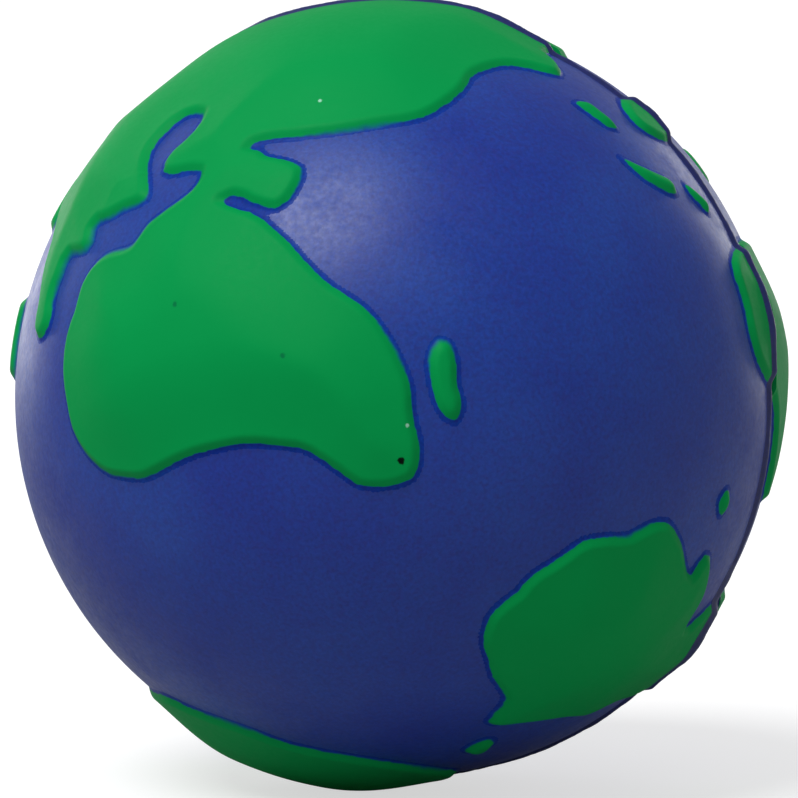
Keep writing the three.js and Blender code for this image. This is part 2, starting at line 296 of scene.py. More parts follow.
peel_gloss = add(blue_paint, "ShaderNodeMapRange",
                 {"Value": peel, "From Min": 0.3, "From Max": 0.7, "To Min": -0.05, "To Max": 0.05})
gloss = add(blue_paint, "ShaderNodeMath", {0: patch_gloss, 1: peel_gloss}, operation="ADD")
for socket, source in (("Color", toned.outputs[2]), ("Roughness", gloss.outputs[0]),
                       ("Height", peel.outputs[0])):
    blue_paint.links.new(source, result[socket])


def start_material(name):
    """A material with an empty tree, its surface shader and the shader's sockets."""
    made = bpy.data.materials.new(name)
    made.use_nodes = True
    return made, made.node_tree, made.node_tree.nodes["Principled BSDF"]


def blue_material(name, coats=None):
    """A material of blue paint, in the group's own colours or in the coats given, and its shader."""
    made, tree, surface = start_material(name)
    coat = add(tree, "ShaderNodeGroup", coats, node_tree=blue_paint)
    bump = add(tree, "ShaderNodeBump", {"Height": coat.outputs["Height"], "Distance": 0.012 * MM,
                                        "Strength": 1.0})
    for source, socket in ((coat.outputs["Color"], "Base Color"),
                           (coat.outputs["Roughness"], "Roughness"), (bump.outputs[0], "Normal")):
        tree.links.new(source, surface.inputs[socket])
    surface.inputs["IOR"].default_value = PAINT_IOR
    return made, surface


sea_paint, surface = blue_material("flexible blue paint, sprayed satin")
surface.inputs["Specular IOR Level"].default_value = 0.42
# The weld line's blue is darker than the sea's: painted shade for the dark line that the ridge shows.
weld_paint, surface = blue_material("flexible blue paint, gathered on the weld line",
                                    {"Thin coat": linear("#091c64"), "Full coat": linear("#081a5c")})
print("materials:", sea_paint.name, "|", weld_paint.name)

# %% [markdown]
# ## Marks, and painted shade for a hole and two pits
#
# A few small marks are on the lands: a near-black spot, painted shade for a
# small hole, two pale flecks, and two darker green spots, painted shade for two
# faint pits. Each has its latitude and longitude on the moulded map, how far it
# reaches in millimetres, and its colour. The map lies tilted in the mould, and
# the same three turns that the lands were given take a place on the map to a
# direction from the ball's centre.

# %% The marks, given by their place on the map
POLE_BEARING, POLE_LEAN, GLOBE_SPIN = math.radians(161), math.radians(47.5), math.radians(78.5)
MARKS_AND_PAINTED_SHADE = [
    # The hole's near-black and the two pits' darker green are painted shade; the shape has no hole or
    # dent there.
    ("painted shade of a small hole", -27, 33, 0.2, "#04120a"),
    ("white fleck near the Cape", -24, 37.5, 0.1, "#9fd8bd"),
    ("white fleck in Asia", 24.5, 61, 0.1, "#9fe0c0"),
    ("painted shade of a pit in the Sahara", 12, 24, 0.14, "#007a45"),
    ("painted shade of a pit in the Congo", -5, 31, 0.12, "#007a45"),
]


def on_ball(latitude, longitude):
    """The direction, from the ball's centre, of a latitude and longitude on the map, in degrees."""
    flat, tall = math.radians(longitude), math.radians(latitude)
    point = Vector((math.cos(tall) * math.cos(flat), math.cos(tall) * math.sin(flat), math.sin(tall)))
    turn = (Matrix.Rotation(POLE_BEARING, 3, "Z") @ Matrix.Rotation(POLE_LEAN, 3, "Y")
            @ Matrix.Rotation(GLOBE_SPIN, 3, "Z"))
    return turn @ point


print(len(MARKS_AND_PAINTED_SHADE), "marks")

# %% [markdown]
# ## Land paint
#
# The green goes on last, over the raised lands, and each land keeps a dark blue
# outline where its flank falls to the sea. The attribute "coast" is the
# distance to the coast in millimetres, positive on the land, and the green
# starts where it is about zero. A fine noise makes that edge wander. A slow one
# makes it crisp in some places and softly oversprayed in others, as a hand-held
# mask does.

# %% The green over the blue
GREEN_EDGE, EDGE_WANDER = -0.02, 0.16   # millimetres
MARK_FADE = 0.12                        # millimetres
land_paint, tree, surface = start_material("flexible green paint over blue, satin")
place = add(tree, "ShaderNodeTexCoord").outputs["Object"]
coat = add(tree, "ShaderNodeGroup", node_tree=blue_paint)
coast = add(tree, "ShaderNodeAttribute", attribute_name="coast").outputs["Fac"]
wander = add(tree, "ShaderNodeTexNoise", {"Vector": place, "Scale": 1 / (0.9 * MM), "Detail": 3.0})
wandered = add(tree, "ShaderNodeMapRange", {"Value": wander, "To Min": -EDGE_WANDER,
                                                "To Max": EDGE_WANDER})
edge = add(tree, "ShaderNodeMath", {0: coast, 1: wandered}, operation="ADD")
masking = add(tree, "ShaderNodeTexNoise", {"Vector": place, "Scale": 1 / (16 * MM), "Detail": 1.0})
softness = add(tree, "ShaderNodeMapRange",
               {"Value": masking, "From Min": 0.5, "From Max": 0.68, "To Min": 0.06, "To Max": 0.4},
               interpolation_type="SMOOTHSTEP")
edge_start = add(tree, "ShaderNodeMath", {0: GREEN_EDGE, 1: softness}, operation="SUBTRACT")
edge_end = add(tree, "ShaderNodeMath", {0: GREEN_EDGE, 1: softness}, operation="ADD")
cover = add(tree, "ShaderNodeMapRange", {"Value": edge, "From Min": edge_start, "From Max": edge_end},
            interpolation_type="SMOOTHSTEP")
depth = add(tree, "ShaderNodeTexNoise", {"Vector": place, "Scale": 1 / (11 * MM), "Detail": 3.0})
green = add(tree, "ShaderNodeMix", {"Factor": depth, "A": linear("#00a04f"), "B": linear("#00994b")},
            data_type="RGBA")
colour = add(tree, "ShaderNodeMix", {"Factor": cover, "A": coat.outputs["Color"],
                                     "B": green.outputs[2]}, data_type="RGBA")
ragged = add(tree, "ShaderNodeTexNoise", {"Vector": place, "Scale": 1 / (0.5 * MM), "Detail": 2.0})
ragged_reach = add(tree, "ShaderNodeMapRange", {"Value": ragged, "To Min": -0.25, "To Max": 0.25})
direction = add(tree, "ShaderNodeVectorMath", {0: place}, operation="NORMALIZE")
marked = colour.outputs[2]
# Each mark's colour is mixed in here; for the hole and the two pits that colour is painted shade.
for mark, latitude, longitude, reach_mm, tone in MARKS_AND_PAINTED_SHADE:
    away = add(tree, "ShaderNodeVectorMath", {0: direction, 1: on_ball(latitude, longitude)},
               operation="DISTANCE").outputs["Value"]
    frayed = add(tree, "ShaderNodeMath", {0: away, 1: SEA_RADIUS / MM, 2: ragged_reach},
                 operation="MULTIPLY_ADD")
    within = add(tree, "ShaderNodeMapRange",
                 {"Value": frayed, "From Min": reach_mm + MARK_FADE, "From Max": reach_mm})
    within.label = mark
    marked = add(tree, "ShaderNodeMix", {"Factor": within, "A": marked, "B": linear(tone)},
                 data_type="RGBA").outputs[2]
peel = add(tree, "ShaderNodeTexNoise", {"Vector": place, **ORANGE_PEEL})
green_gloss = add(tree, "ShaderNodeMapRange",
                  {"Value": peel, "From Min": 0.3, "From Max": 0.7, "To Min": 0.5, "To Max": 0.58})
gloss = add(tree, "ShaderNodeMix", {"Factor": cover, "A": coat.outputs["Roughness"],
                                    "B": green_gloss.outputs[0]})
bump = add(tree, "ShaderNodeBump", {"Height": peel, "Distance": 0.008 * MM, "Strength": 1.0})
for source, socket in ((marked, "Base Color"), (gloss.outputs[0], "Roughness"),
                       (bump.outputs[0], "Normal")):
    tree.links.new(source, surface.inputs[socket])
surface.inputs["IOR"].default_value = PAINT_IOR
surface.inputs["Specular IOR Level"].default_value = 0.06
print("material:", land_paint.name)

# %% [markdown]
# ## Foam
#
# Inside the skin the foam is pale cream and open-celled. Its cells are about
# half a millimetre across, and their walls scatter light like a sponge's.
# The pattern here is drawn at 0.6 mm, and the piece's own dents at 1.6 mm.

# %% The foam's finish
foam_finish, tree, surface = start_material("polyurethane foam, open cells")
place = add(tree, "ShaderNodeTexCoord").outputs["Object"]
cells = add(tree, "ShaderNodeTexVoronoi", {"Vector": place, "Scale": 1 / (0.6 * MM)})
wall = add(tree, "ShaderNodeMapRange", {"Value": cells.outputs["Distance"], "From Min": 0.1,
                                        "From Max": 0.7})
cream = add(tree, "ShaderNodeMix", {"Factor": wall, "A": linear("#cfc29a"), "B": linear("#ece4c8")},
            data_type="RGBA")
bump = add(tree, "ShaderNodeBump", {"Height": wall, "Distance": 0.1 * MM, "Strength": 0.8})
tree.links.new(cream.outputs[2], surface.inputs["Base Color"])
tree.links.new(bump.outputs[0], surface.inputs["Normal"])
surface.inputs["Roughness"].default_value = 0.92
print("material:", foam_finish.name)

# %% [markdown]
# ## The sea: two halves of the skin
#
# Each half of the mould gives half of the ball. The half shell is the even ball
# with one side deleted at the plane where the mould closes, given the ripple as
# its height, and closed with a wall one millimetre thick.

# %% The half-shell tree, and the two halves
sea_half, given, result = start_tree(
    "sea half", SHAPE,
    [("Side", "Float", -1.0), ("Cells", "Int", 120), ("Ripple", "Float", RIPPLE_DEPTH),
     ("Paint", "Material", None)],
    [("Geometry", "Geometry")])
ball = add(sea_half, "GeometryNodeGroup", {"Cells": given["Cells"]}, node_tree=even_ball)
across = add(sea_half, "ShaderNodeSeparateXYZ",
             {0: add(sea_half, "GeometryNodeInputPosition")}).outputs["Y"]
own_side = add(sea_half, "ShaderNodeMath", {0: across, 1: given["Side"]}, operation="MULTIPLY")
other = add(sea_half, "FunctionNodeCompare", {"A": own_side, "B": 0.0}, operation="LESS_THAN")
half = add(sea_half, "GeometryNodeDeleteGeometry", {"Geometry": ball, "Selection": other},
           domain="FACE")
height = add(sea_half, "GeometryNodeGroup", {"Depth": given["Ripple"]}, node_tree=ripple)
risen = add(sea_half, "GeometryNodeStoreNamedAttribute",
            {"Geometry": half, "Name": "rise", "Value": height}, data_type="FLOAT", domain="POINT")
closed = add(sea_half, "GeometryNodeGroup", {"Patch": risen}, node_tree=shell)
real = add(sea_half, "GeometryNodeRealizeInstances", {"Geometry": closed})
painted = add(sea_half, "GeometryNodeSetMaterial", {"Geometry": real, "Material": given["Paint"]})
sea_half.links.new(painted.outputs[0], result["Geometry"])

pieces = []
for side, half_name in ((-1.0, "front"), (1.0, "back")):
    sea = grow(f"sea_{half_name}", sea_half, Side=side, Paint=sea_paint)
    pieces.append((sea, f"skin_{half_name}", "ocean_paint"))

# %% [markdown]
# ## How far from the coast?
#
# The CAD model already has every coastline, as the side walls of its pads. For
# a point on the ball, the distance to the nearest wall says how close the coast
# is, and a ray shot down at the pad says whether the point is on land. A pad
# that crosses the mould's plane was cut there in CAD, so its cut faces are left
# out, and points nearer the plane than the cut borrow the distance at the cut.

# %% The coast of a pad: its side walls, without the cut
CUT_REACH = 1.0 * MM
coast_walls, given, result = start_tree(
    "coast walls", SHAPE, [("Pad", "Geometry", None), ("Cut", "Float", CUT_REACH)],
    [("Walls", "Geometry")])
here = add(coast_walls, "GeometryNodeInputPosition")
normal = add(coast_walls, "GeometryNodeInputNormal")
outward = add(coast_walls, "ShaderNodeVectorMath", {0: here}, operation="NORMALIZE")
facing = add(coast_walls, "ShaderNodeVectorMath", {0: outward, 1: normal},
             operation="DOT_PRODUCT").outputs["Value"]
steepness = add(coast_walls, "ShaderNodeMath", {0: facing}, operation="ABSOLUTE")
is_wall = add(coast_walls, "FunctionNodeCompare", {"A": steepness, "B": 0.5}, operation="LESS_THAN")
off_plane = add(coast_walls, "ShaderNodeMath",
                {0: add(coast_walls, "ShaderNodeSeparateXYZ", {0: here}).outputs["Y"]},
                operation="ABSOLUTE")
near_plane = add(coast_walls, "FunctionNodeCompare", {"A": off_plane, "B": given["Cut"]},
                 operation="LESS_THAN")
turned = add(coast_walls, "ShaderNodeMath",
             {0: add(coast_walls, "ShaderNodeSeparateXYZ", {0: normal}).outputs["Y"]},
             operation="ABSOLUTE")
squarely = add(coast_walls, "FunctionNodeCompare", {"A": turned, "B": 0.98}, operation="GREATER_THAN")
is_cut = add(coast_walls, "FunctionNodeBooleanMath", {0: near_plane, 1: squarely}, operation="AND")
is_coast = add(coast_walls, "FunctionNodeBooleanMath", {0: is_wall, 1: is_cut}, operation="NIMPLY")
coast = add(coast_walls, "GeometryNodeSeparateGeometry",
            {"Geometry": given["Pad"], "Selection": is_coast}, domain="FACE")
coast_walls.links.new(coast.outputs[0], result["Walls"])

# %% Distance to the coast, in millimetres
to_coast, given, result = start_tree(
    "distance to coast", SHAPE,
    [("Pad", "Geometry", None), ("Other half", "Geometry", None), ("Side", "Float", -1.0),
     ("Cut", "Float", CUT_REACH)],
    [("Distance", "Float"), ("Inland", "Float")])
here = add(to_coast, "GeometryNodeInputPosition")
spot = add(to_coast, "ShaderNodeSeparateXYZ", {0: here}).outputs
coast = add(to_coast, "GeometryNodeGroup", {"Pad": given["Pad"], "Cut": given["Cut"]},
            node_tree=coast_walls)
far_coast = add(to_coast, "GeometryNodeGroup", {"Pad": given["Other half"], "Cut": given["Cut"]},
                node_tree=coast_walls)
own_side = add(to_coast, "ShaderNodeMath", {0: spot["Y"], 1: given["Side"]}, operation="MULTIPLY")
kept_away = add(to_coast, "ShaderNodeMath", {0: own_side, 1: given["Cut"]}, operation="MAXIMUM")
across = add(to_coast, "ShaderNodeMath", {0: kept_away, 1: given["Side"]}, operation="MULTIPLY")
borrowed = add(to_coast, "ShaderNodeCombineXYZ", {"X": spot["X"], "Y": across, "Z": spot["Z"]})
outward = add(to_coast, "ShaderNodeVectorMath", {0: borrowed}, operation="NORMALIZE")
mid_wall = add(to_coast, "ShaderNodeVectorMath", {0: outward, "Scale": SEA_RADIUS + 0.6 * RELIEF},
               operation="SCALE")
reach = add(to_coast, "GeometryNodeProximity", {"Geometry": coast, "Sample Position": mid_wall},
            target_element="FACES")
above = add(to_coast, "ShaderNodeVectorMath", {0: outward, "Scale": RAY_START},
            operation="SCALE")
inward = add(to_coast, "ShaderNodeVectorMath", {0: outward, "Scale": -1.0}, operation="SCALE")
shot = add(to_coast, "GeometryNodeRaycast",
           {"Target Geometry": given["Pad"], "Source Position": above, "Ray Direction": inward,
            "Ray Length": 4 * MM})
sign = add(to_coast, "ShaderNodeMapRange",
           {"Value": shot.outputs["Is Hit"], "To Min": -1 / MM, "To Max": 1 / MM})
signed = add(to_coast, "ShaderNodeMath", {0: reach.outputs["Distance"], 1: sign}, operation="MULTIPLY")
to_coast.links.new(signed.outputs[0], result["Distance"])
own_reach = add(to_coast, "GeometryNodeProximity", {"Geometry": coast, "Sample Position": here},
                target_element="FACES")
far_reach = add(to_coast, "GeometryNodeProximity", {"Geometry": far_coast, "Sample Position": here},
                target_element="FACES")
nearest = add(to_coast, "ShaderNodeMath",
              {0: own_reach.outputs["Distance"], 1: far_reach.outputs["Distance"]}, operation="MINIMUM")
inland = add(to_coast, "ShaderNodeMath", {0: nearest, 1: 1 / MM}, operation="MULTIPLY")
to_coast.links.new(inland.outputs[0], result["Inland"])

# %% [markdown]
# ## A raised land
#
# The tree takes a CAD pad and grows the moulded land from it. Coarse cells far
# from the pad are dropped, and the rest are divided to a fifth of a millimetre.
# The distance to the coast is blurred a little, as a cutter's radius rounds a
# pocket. The height climbs in two stages: a soft flank, about a third of the
# relief, at the coast, then a long swell inland, because the foam bulges where a
# pad is wide. Small islands therefore stay low. The foot ends a hair under the
# sea, so the two surfaces meet without a step.
#
# The coarse net has an odd number of cells to a side, so one row of them
# straddles the plane where the mould closes. The front half takes that row, and
# the two halves of a land meet 0.6 to 0.9 mm behind the plane, not on it.

# %% The raised-land tree
COARSE_CELLS, HALVINGS = 31, 3
NEAR_PAD = 2.6 * MM                    # coarse cells further away than this are dropped
SKIRT_END, SKIRT_START = -0.75, -0.45  # millimetres from the coast, where the foot dips under the sea
SKIRT_DIP = 0.006 * MM
raised_land, given, result = start_tree(
    "raised land", SHAPE,
    [("Pad", "Object", None), ("Other half", "Object", None), ("Side", "Float", -1.0),
     ("Relief", "Float", RELIEF), ("Flank share", "Float", 0.36), ("Ripple", "Float", RIPPLE_DEPTH),
     ("Foot", "Float", -0.35), ("Shoulder", "Float", 0.75), ("Swell width", "Float", 9.0),
     ("Rounding", "Int", 3), ("Paint", "Material", None)],
    [("Geometry", "Geometry")])
pad = add(raised_land, "GeometryNodeObjectInfo", {"Object": given["Pad"]},
          transform_space="ORIGINAL").outputs["Geometry"]
other = add(raised_land, "GeometryNodeObjectInfo", {"Object": given["Other half"]},
            transform_space="ORIGINAL").outputs["Geometry"]
coarse = add(raised_land, "GeometryNodeGroup", {"Cells": COARSE_CELLS}, node_tree=even_ball)
here = add(raised_land, "GeometryNodeInputPosition")
gap = add(raised_land, "GeometryNodeProximity", {"Geometry": pad, "Sample Position": here},
          target_element="FACES").outputs["Distance"]
is_far = add(raised_land, "FunctionNodeCompare", {"A": gap, "B": NEAR_PAD}, operation="GREATER_THAN")
own_side = add(raised_land, "ShaderNodeMath",
               {0: add(raised_land, "ShaderNodeSeparateXYZ", {0: here}).outputs["Y"], 1: given["Side"]},
               operation="MULTIPLY")
is_across = add(raised_land, "FunctionNodeCompare", {"A": own_side, "B": 0.0}, operation="LESS_THAN")
unneeded = add(raised_land, "FunctionNodeBooleanMath", {0: is_far, 1: is_across}, operation="OR")
near = add(raised_land, "GeometryNodeDeleteGeometry", {"Geometry": coarse, "Selection": unneeded},
           domain="FACE")
fine = add(raised_land, "GeometryNodeSubdivideMesh", {"Mesh": near, "Level": HALVINGS})
outward = add(raised_land, "ShaderNodeVectorMath", {0: here}, operation="NORMALIZE")
on_sea = add(raised_land, "ShaderNodeVectorMath", {0: outward, "Scale": SEA_RADIUS}, operation="SCALE")
round_patch = add(raised_land, "GeometryNodeSetPosition", {"Geometry": fine, "Position": on_sea})
distance = add(raised_land, "GeometryNodeGroup",
               {"Pad": pad, "Other half": other, "Side": given["Side"]}, node_tree=to_coast)
rounded = add(raised_land, "GeometryNodeBlurAttribute",
              {"Value": distance.outputs["Distance"], "Iterations": given["Rounding"]},
              data_type="FLOAT")
measured = add(raised_land, "GeometryNodeStoreNamedAttribute",
               {"Geometry": round_patch, "Name": "coast", "Value": rounded},
               data_type="FLOAT", domain="POINT")
swept = add(raised_land, "GeometryNodeBlurAttribute",
            {"Value": distance.outputs["Inland"], "Iterations": 12}, data_type="FLOAT")
measured = add(raised_land, "GeometryNodeStoreNamedAttribute",
               {"Geometry": measured, "Name": "inland", "Value": swept},
               data_type="FLOAT", domain="POINT")
coast = add(raised_land, "GeometryNodeInputNamedAttribute", {"Name": "coast"}, data_type="FLOAT")
past_foot = add(raised_land, "FunctionNodeCompare", {"A": coast, "B": SKIRT_END},
                operation="LESS_THAN")
trimmed = add(raised_land, "GeometryNodeDeleteGeometry", {"Geometry": measured, "Selection": past_foot},
              domain="FACE")
climb = add(raised_land, "ShaderNodeMapRange",
            {"Value": coast, "From Min": given["Foot"], "From Max": given["Shoulder"],
             "To Max": given["Flank share"]},
            interpolation_type="SMOOTHSTEP")
swell_height = add(raised_land, "ShaderNodeMath", {0: 1.0, 1: given["Flank share"]},
                   operation="SUBTRACT")
is_land = add(raised_land, "ShaderNodeMapRange", {"Value": coast, "From Min": 0.0, "From Max": 0.5})
inland = add(raised_land, "GeometryNodeInputNamedAttribute", {"Name": "inland"}, data_type="FLOAT")
swell = add(raised_land, "ShaderNodeMapRange",
            {"Value": inland, "From Max": given["Swell width"], "To Max": swell_height},
            interpolation_type="SMOOTHSTEP")
swell = add(raised_land, "ShaderNodeMath", {0: swell, 1: is_land}, operation="MULTIPLY")
profile = add(raised_land, "ShaderNodeMath", {0: climb, 1: swell}, operation="ADD")
land_height = add(raised_land, "ShaderNodeMath", {0: profile, 1: given["Relief"]}, operation="MULTIPLY")
tuck = add(raised_land, "ShaderNodeMapRange",
           {"Value": coast, "From Min": SKIRT_END, "From Max": SKIRT_START, "To Min": -SKIRT_DIP,
            "To Max": 0.0},
           interpolation_type="SMOOTHSTEP")
rippled = add(raised_land, "GeometryNodeGroup", {"Depth": given["Ripple"]}, node_tree=ripple)
with_ripple = add(raised_land, "ShaderNodeMath", {0: land_height, 1: rippled}, operation="ADD")
height = add(raised_land, "ShaderNodeMath", {0: with_ripple, 1: tuck}, operation="ADD")
risen = add(raised_land, "GeometryNodeStoreNamedAttribute",
            {"Geometry": trimmed, "Name": "rise", "Value": height},
            data_type="FLOAT", domain="POINT")
closed = add(raised_land, "GeometryNodeGroup", {"Patch": risen, "Inner radius": SEA_RADIUS - 0.3 * MM},
             node_tree=shell)
real = add(raised_land, "GeometryNodeRealizeInstances", {"Geometry": closed})
painted = add(raised_land, "GeometryNodeSetMaterial", {"Geometry": real, "Material": given["Paint"]})
raised_land.links.new(painted.outputs[0], result["Geometry"])

# %% Every land, from its own pad
not_lands = {"skin_front", "skin_back", "weld_bead", "foam_core"}
for node_name in sorted(set(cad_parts) - not_lands):
    low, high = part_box(node_name)
    side = -1.0 if low[1] + high[1] < 0 else 1.0
    swapped = node_name.replace("_front", "_back") if side < 0 else node_name.replace("_back", "_front")
    land = grow("land_" + node_name, raised_land, Pad=bpy.data.objects[node_name],
                Other_half=bpy.data.objects[swapped], Side=side, Paint=land_paint)
    pieces.append((land, node_name, "land_paint"))

# %% [markdown]
# ## The weld line
#
# Where the two halves of the mould met, foam crept into the gap and left a low
# ridge all round the ball. It climbs over the lands it crosses. Its blue is
# painted darker than the sea's, as painted shade for the dark line the ridge
# shows. A strip runs round the plane, and a ray shot down from each of its
# points finds the surface under it, to which the ridge is added. On
# one stretch the mould leaked more, so the ridge is wider there, with a step.

# %% The weld-line tree
POINTS_ROUND, POINTS_ACROSS = 1601, 15
STEP_TURN, FADE_TURN = -0.012, 0.35    # radians: the leak starts in a step and fades out slowly
WELD_DIP = 0.008 * MM                  # the ridge's edges lie this far under the surface
weld_line, given, result = start_tree(
    "weld line", SHAPE,
    [("Surfaces", "Collection", None), ("Width", "Float", 1.35 * MM), ("Ridge", "Float", 0.3 * MM),
     ("Leak start", "Float", math.radians(-24)), ("Leak end", "Float", math.radians(-58)),
     ("Leak width", "Float", 0.9 * MM), ("Paint", "Material", None)],
    [("Geometry", "Geometry")])
strip = add(weld_line, "GeometryNodeMeshGrid",
            {"Size X": 2 * math.pi, "Size Y": 1.0, "Vertices X": POINTS_ROUND,
             "Vertices Y": POINTS_ACROSS}).outputs["Mesh"]
along = add(weld_line, "ShaderNodeSeparateXYZ",
            {0: add(weld_line, "GeometryNodeInputPosition")}).outputs
course = add(weld_line, "GeometryNodeStoreNamedAttribute",
             {"Geometry": strip, "Name": "turn", "Value": along["X"]}, data_type="FLOAT")
course = add(weld_line, "GeometryNodeStoreNamedAttribute",
             {"Geometry": course, "Name": "aside", "Value": along["Y"]}, data_type="FLOAT")
turn = add(weld_line, "GeometryNodeInputNamedAttribute", {"Name": "turn"}, data_type="FLOAT")
aside = add(weld_line, "GeometryNodeInputNamedAttribute", {"Name": "aside"}, data_type="FLOAT")
east = add(weld_line, "ShaderNodeMath", {0: turn}, operation="COSINE")
top = add(weld_line, "ShaderNodeMath", {0: turn}, operation="SINE")
circle = add(weld_line, "ShaderNodeCombineXYZ", {"X": east, "Z": top})
uneven = add(weld_line, "ShaderNodeTexNoise",
             {"Vector": circle, "Scale": 9.0, "Detail": 4.0, "Roughness": 0.6})
swell = add(weld_line, "ShaderNodeMapRange",
            {"Value": uneven, "From Min": 0.3, "From Max": 0.7, "To Min": 0.75, "To Max": 1.25})
full_leak = add(weld_line, "ShaderNodeMath", {0: given["Leak start"], 1: STEP_TURN}, operation="ADD")
opened = add(weld_line, "ShaderNodeMapRange",
             {"Value": turn, "From Min": given["Leak start"], "From Max": full_leak})
fading = add(weld_line, "ShaderNodeMath", {0: given["Leak end"], 1: FADE_TURN}, operation="ADD")
shut = add(weld_line, "ShaderNodeMapRange",
           {"Value": turn, "From Min": given["Leak end"], "From Max": fading},
           interpolation_type="SMOOTHSTEP")
leak = add(weld_line, "ShaderNodeMath", {0: opened, 1: shut}, operation="MULTIPLY")
swollen = add(weld_line, "ShaderNodeMath", {0: given["Width"], 1: swell}, operation="MULTIPLY")
width = add(weld_line, "ShaderNodeMath", {0: leak, 1: given["Leak width"], 2: swollen},
            operation="MULTIPLY_ADD")
offset = add(weld_line, "ShaderNodeMath", {0: aside, 1: width}, operation="MULTIPLY")
angle = add(weld_line, "ShaderNodeMath", {0: offset, 1: SEA_RADIUS}, operation="DIVIDE")
sideways = add(weld_line, "ShaderNodeCombineXYZ", {"Y": angle})
shifted = add(weld_line, "ShaderNodeVectorMath", {0: circle, 1: sideways}, operation="ADD")
towards = add(weld_line, "ShaderNodeVectorMath", {0: shifted}, operation="NORMALIZE")
placed = add(weld_line, "ShaderNodeVectorMath", {0: towards, "Scale": SEA_RADIUS}, operation="SCALE")
laid = add(weld_line, "GeometryNodeSetPosition", {"Geometry": course, "Position": placed})
ring = add(weld_line, "GeometryNodeMergeByDistance", {"Geometry": laid, "Distance": ONE_POINT})
gathered = add(weld_line, "GeometryNodeCollectionInfo", {"Collection": given["Surfaces"]})
surfaces = add(weld_line, "GeometryNodeRealizeInstances", {"Geometry": gathered})
outward = add(weld_line, "ShaderNodeVectorMath", {0: add(weld_line, "GeometryNodeInputPosition")},
              operation="NORMALIZE")
above = add(weld_line, "ShaderNodeVectorMath", {0: outward, "Scale": RAY_START},
            operation="SCALE")
inward = add(weld_line, "ShaderNodeVectorMath", {0: outward, "Scale": -1.0}, operation="SCALE")
shot = add(weld_line, "GeometryNodeRaycast",
           {"Target Geometry": surfaces, "Source Position": above, "Ray Direction": inward,
            "Ray Length": 6 * MM})
ground = add(weld_line, "ShaderNodeMath",
             {0: RAY_START - SEA_RADIUS, 1: shot.outputs["Hit Distance"]},
             operation="SUBTRACT")
level = add(weld_line, "GeometryNodeBlurAttribute", {"Value": ground, "Iterations": 1},
            data_type="FLOAT")
half_turn = add(weld_line, "ShaderNodeMath", {0: aside, 1: math.pi}, operation="MULTIPLY")
bow = add(weld_line, "ShaderNodeMath", {0: half_turn}, operation="COSINE")
bow = add(weld_line, "ShaderNodeMath", {0: bow, 1: 1.6}, operation="POWER")
crest = add(weld_line, "ShaderNodeMath", {0: given["Ridge"], 1: swell}, operation="MULTIPLY")
ridge = add(weld_line, "ShaderNodeMath", {0: bow, 1: crest, 2: level}, operation="MULTIPLY_ADD")
height = add(weld_line, "ShaderNodeMath", {0: ridge, 1: -WELD_DIP}, operation="ADD")
risen = add(weld_line, "GeometryNodeStoreNamedAttribute",
            {"Geometry": ring, "Name": "rise", "Value": height}, data_type="FLOAT", domain="POINT")
closed = add(weld_line, "GeometryNodeGroup", {"Patch": risen, "Inner radius": SEA_RADIUS - 0.4 * MM},
             node_tree=shell)
real = add(weld_line, "GeometryNodeRealizeInstances", {"Geometry": closed})
painted = add(weld_line, "GeometryNodeSetMaterial", {"Geometry": real, "Material": given["Paint"]})
weld_line.links.new(painted.outputs[0], result["Geometry"])

root = bpy.context.scene.collection
ridge_piece = grow("weld_line", weld_line, where=root, Surfaces=finished, Paint=weld_paint)
pieces.append((ridge_piece, "weld_bead", "weld_paint"))

# %% [markdown]
# ## The foam inside
#
# The foam fills the skin. It can't be seen unless the ball is cut, yet it is
# what the ball is made of, so it gets its own lumpy, open-celled surface.

# %% The foam's tree
foam_tree, given, result = start_tree(
    "foam", SHAPE,
    [("Radius", "Float", SEA_RADIUS - SKIN_WALL - 0.3 * MM), ("Cell size", "Float", 1.6 * MM),
     ("Cell depth", "Float", 0.25 * MM), ("Finish", "Material", None)],
    [("Geometry", "Geometry")])
ball = add(foam_tree, "GeometryNodeGroup", {"Cells": 110, "Radius": given["Radius"]},
           node_tree=even_ball)
here = add(foam_tree, "GeometryNodeInputPosition")
per_metre = add(foam_tree, "ShaderNodeMath", {0: 1.0, 1: given["Cell size"]}, operation="DIVIDE")
cells = add(foam_tree, "ShaderNodeTexVoronoi", {"Vector": here, "Scale": per_metre})
hollow = add(foam_tree, "ShaderNodeMapRange",
             {"Value": cells.outputs["Distance"], "From Max": 0.6, "To Min": -1.0, "To Max": 0.0},
             interpolation_type="SMOOTHSTEP")
sunk = add(foam_tree, "ShaderNodeMath", {0: hollow, 1: given["Cell depth"]}, operation="MULTIPLY")
outward = add(foam_tree, "ShaderNodeVectorMath", {0: here}, operation="NORMALIZE")
dent = add(foam_tree, "ShaderNodeVectorMath", {0: outward, "Scale": sunk}, operation="SCALE")
pitted = add(foam_tree, "GeometryNodeSetPosition", {"Geometry": ball, "Offset": dent})
smooth = add(foam_tree, "GeometryNodeSetShadeSmooth", {"Geometry": pitted})
real = add(foam_tree, "GeometryNodeRealizeInstances", {"Geometry": smooth})
painted = add(foam_tree, "GeometryNodeSetMaterial", {"Geometry": real, "Material": given["Finish"]})
foam_tree.links.new(painted.outputs[0], result["Geometry"])
foam = grow("foam_inside", foam_tree, where=root, Finish=foam_finish)
pieces.append((foam, "foam_core", "foam"))

# %% [markdown]
# ## Joining the pieces to the frame
#
# Every piece rides on the one rigid body and stands for its CAD node, which is
# hidden. The foam is soft.

# %% Riding, replacing
for piece, node_name, slot in pieces:
    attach(piece, "root")
    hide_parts(node_name)
print(len(pieces), "pieces stand for", len(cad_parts), "nodes")

# %% [markdown]
# ## Floor, light and camera
#
# The ball stands on a plain pale floor. The main light comes from above, a
# little to the left and towards the camera. It is a distant lamp whose light
# spreads over 33 degrees of the sky, as a large soft box's does, and it gives
# the broad soft highlight. Tall panels behind the ball on both sides put the
# pale rims on its satin paint.

